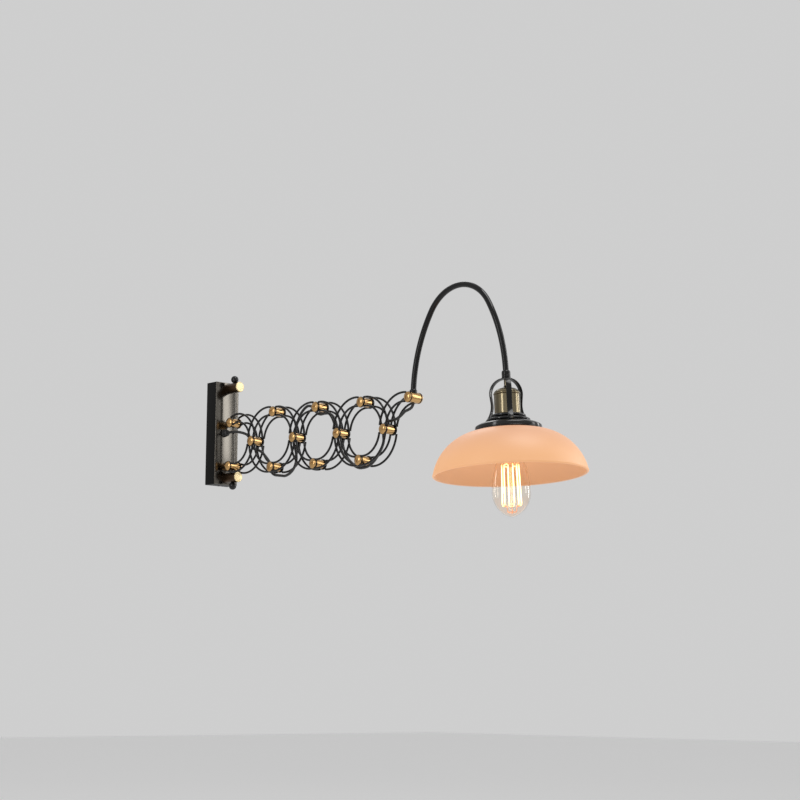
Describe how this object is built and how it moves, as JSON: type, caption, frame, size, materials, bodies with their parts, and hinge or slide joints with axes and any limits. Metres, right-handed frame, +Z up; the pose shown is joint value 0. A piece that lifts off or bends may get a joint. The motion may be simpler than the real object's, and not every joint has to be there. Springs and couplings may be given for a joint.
{
  "type": "scissor arm wall lamp",
  "caption": "Wall lamp on a folding scissor arm of curved wire links, with a bent pipe neck, a caged socket, a glass dome shade and a hanging cord.",
  "frame": {"origin": "on the wall plane, midway between the two wall screw holes", "axes": "+X straight out from the wall, +Y along the wall to the right of someone facing it, +Z up"},
  "size_m": [0.9265, 0.257, 0.4126],
  "materials": {
    "gunmetal": "brushed dark grey face, satin black sides",
    "zinc": "zinc plated",
    "brass": "polished, a little worn",
    "dark_steel": "blackened",
    "gloss_black": "gloss black",
    "black_plastic": "moulded",
    "black_metal": "satin black",
    "aged_brass": "antique, brown in the hollows",
    "opal_glass": "cream opal glass",
    "clear_glass": "clear, lightly tinted",
    "nickel": "plated",
    "filament": "glowing wire",
    "cord_black": "black sleeve"
  },
  "bodies": {
    "wall_base": {"wall_box": "gunmetal", "wall_bracket": "zinc", "posts": "brass", "post_screws": "zinc", "cover_screws": "zinc", "slide_bar": "dark_steel", "end_balls": "gloss_black", "bar_washer": "dark_steel", "cord_gland": "black_plastic", "cord_wall": "cord_black"},
    "swing_head": {"swing_sleeve": "brass", "swing_screws": "brass"},
    "top_slider": {"slide_sleeve": "brass", "slide_screws": "brass"},
    "rise_1": {"rise_link_1_left": "black_metal", "rise_link_1_right": "black_metal", "pivot_screws_1": "brass", "hub_sleeves_1": "brass", "pivot_nuts_1": "brass"},
    "fall_1": {"fall_link_1_left": "black_metal", "fall_link_1_right": "black_metal", "cord_fall_1": "cord_black"},
    "rise_2": {"rise_link_2_left": "black_metal", "rise_link_2_right": "black_metal", "pivot_screws_2": "brass", "hub_sleeves_2": "brass", "pivot_nuts_2": "brass", "cord_rise_2": "cord_black"},
    "fall_2": {"fall_link_2_left": "black_metal", "fall_link_2_right": "black_metal"},
    "rise_3": {"rise_link_3_left": "black_metal", "rise_link_3_right": "black_metal", "pivot_screws_3": "brass", "hub_sleeves_3": "brass", "pivot_nuts_3": "brass"},
    "fall_3": {"fall_link_3_left": "black_metal", "fall_link_3_right": "black_metal", "cord_fall_3": "cord_black"},
    "rise_4": {"rise_link_4_left": "black_metal", "rise_link_4_right": "black_metal", "pivot_screws_4": "brass", "hub_sleeves_4": "brass", "pivot_nuts_4": "brass", "cord_rise_4": "cord_black"},
    "fall_4": {"fall_link_4_left": "black_metal", "fall_link_4_right": "black_metal"},
    "lamp_head": {"knuckle": "brass", "knuckle_screws": "brass", "neck_ferrule": "black_metal", "neck_pipe": "black_metal", "cage_collar": "black_metal", "cage": "black_metal", "socket_shell": "aged_brass", "lamp_holder": "black_plastic", "shade_cup": "black_metal", "shade_ring": "black_plastic", "glass_shade": "opal_glass", "bulb_glass": "clear_glass", "bulb_base": "nickel", "bulb_filament": "filament"}
  },
  "joints": [
    {"name": "arm_swing", "type": "hinge", "parent": "wall_base", "child": "swing_head", "pos_m": [0.0518, 0, -0.0664], "axis": [0, 0, 1], "range_deg": [-10, 10], "deforming": ["cord_wall"]},
    {"name": "arm_extend", "type": "hinge", "parent": "swing_head", "child": "rise_1", "pos_m": [0.0518, 0, -0.0664], "axis": [0, 1, 0], "range_deg": [-22, 10], "deforming": ["cord_wall", "cord_fall_1", "cord_rise_2", "cord_fall_3", "cord_rise_4"]},
    {"name": "cross_1", "type": "hinge", "parent": "rise_1", "child": "fall_1", "pos_m": [0.12168, 0, -0.02408], "axis": [0, 1, 0], "range_deg": [-20, 44], "deforming": ["cord_wall", "cord_fall_1", "cord_rise_2", "cord_fall_3", "cord_rise_4"]},
    {"name": "top_pivot", "type": "hinge", "parent": "fall_1", "child": "top_slider", "pos_m": [0.0518, 0, 0.01825], "axis": [0, 1, 0], "range_deg": [-22, 10]},
    {"name": "joint_2", "type": "hinge", "parent": "fall_1", "child": "rise_2", "pos_m": [0.1824, 0, -0.07874], "axis": [0, 1, 0], "range_deg": [-44, 20], "deforming": ["cord_fall_1", "cord_rise_2", "cord_fall_3", "cord_rise_4"]},
    {"name": "cross_2", "type": "hinge", "parent": "rise_2", "child": "fall_2", "pos_m": [0.2473, 0, -0.02912], "axis": [0, 1, 0], "range_deg": [-20, 44], "deforming": ["cord_rise_2"]},
    {"name": "joint_3", "type": "hinge", "parent": "rise_2", "child": "fall_3", "pos_m": [0.31221, 0, 0.0205], "axis": [0, 1, 0], "range_deg": [-20, 44], "deforming": ["cord_rise_2", "cord_fall_3", "cord_rise_4"]},
    {"name": "cross_3", "type": "hinge", "parent": "fall_3", "child": "rise_3", "pos_m": [0.37292, 0, -0.03417], "axis": [0, 1, 0], "range_deg": [-44, 20], "deforming": ["cord_fall_3"]},
    {"name": "joint_4", "type": "hinge", "parent": "fall_3", "child": "rise_4", "pos_m": [0.43363, 0, -0.08884], "axis": [0, 1, 0], "range_deg": [-44, 20], "deforming": ["cord_fall_3", "cord_rise_4"]},
    {"name": "cross_4", "type": "hinge", "parent": "rise_4", "child": "fall_4", "pos_m": [0.49854, 0, -0.03921], "axis": [0, 1, 0], "range_deg": [-20, 44], "deforming": ["cord_rise_4"]},
    {"name": "lamp_tilt", "type": "hinge", "parent": "rise_4", "child": "lamp_head", "pos_m": [0.56344, 0, 0.01041], "axis": [0, 1, 0], "range_deg": [-45, 30], "deforming": ["cord_rise_4"]}
  ],
  "couplings": [
    {"joint": "cross_1", "follows": "arm_extend", "ratio": -2},
    {"joint": "top_pivot", "follows": "arm_extend", "ratio": 1},
    {"joint": "joint_2", "follows": "arm_extend", "ratio": 2},
    {"joint": "cross_2", "follows": "arm_extend", "ratio": -2},
    {"joint": "joint_3", "follows": "arm_extend", "ratio": -2},
    {"joint": "cross_3", "follows": "arm_extend", "ratio": 2},
    {"joint": "joint_4", "follows": "arm_extend", "ratio": 2},
    {"joint": "cross_4", "follows": "arm_extend", "ratio": -2}
  ]
}
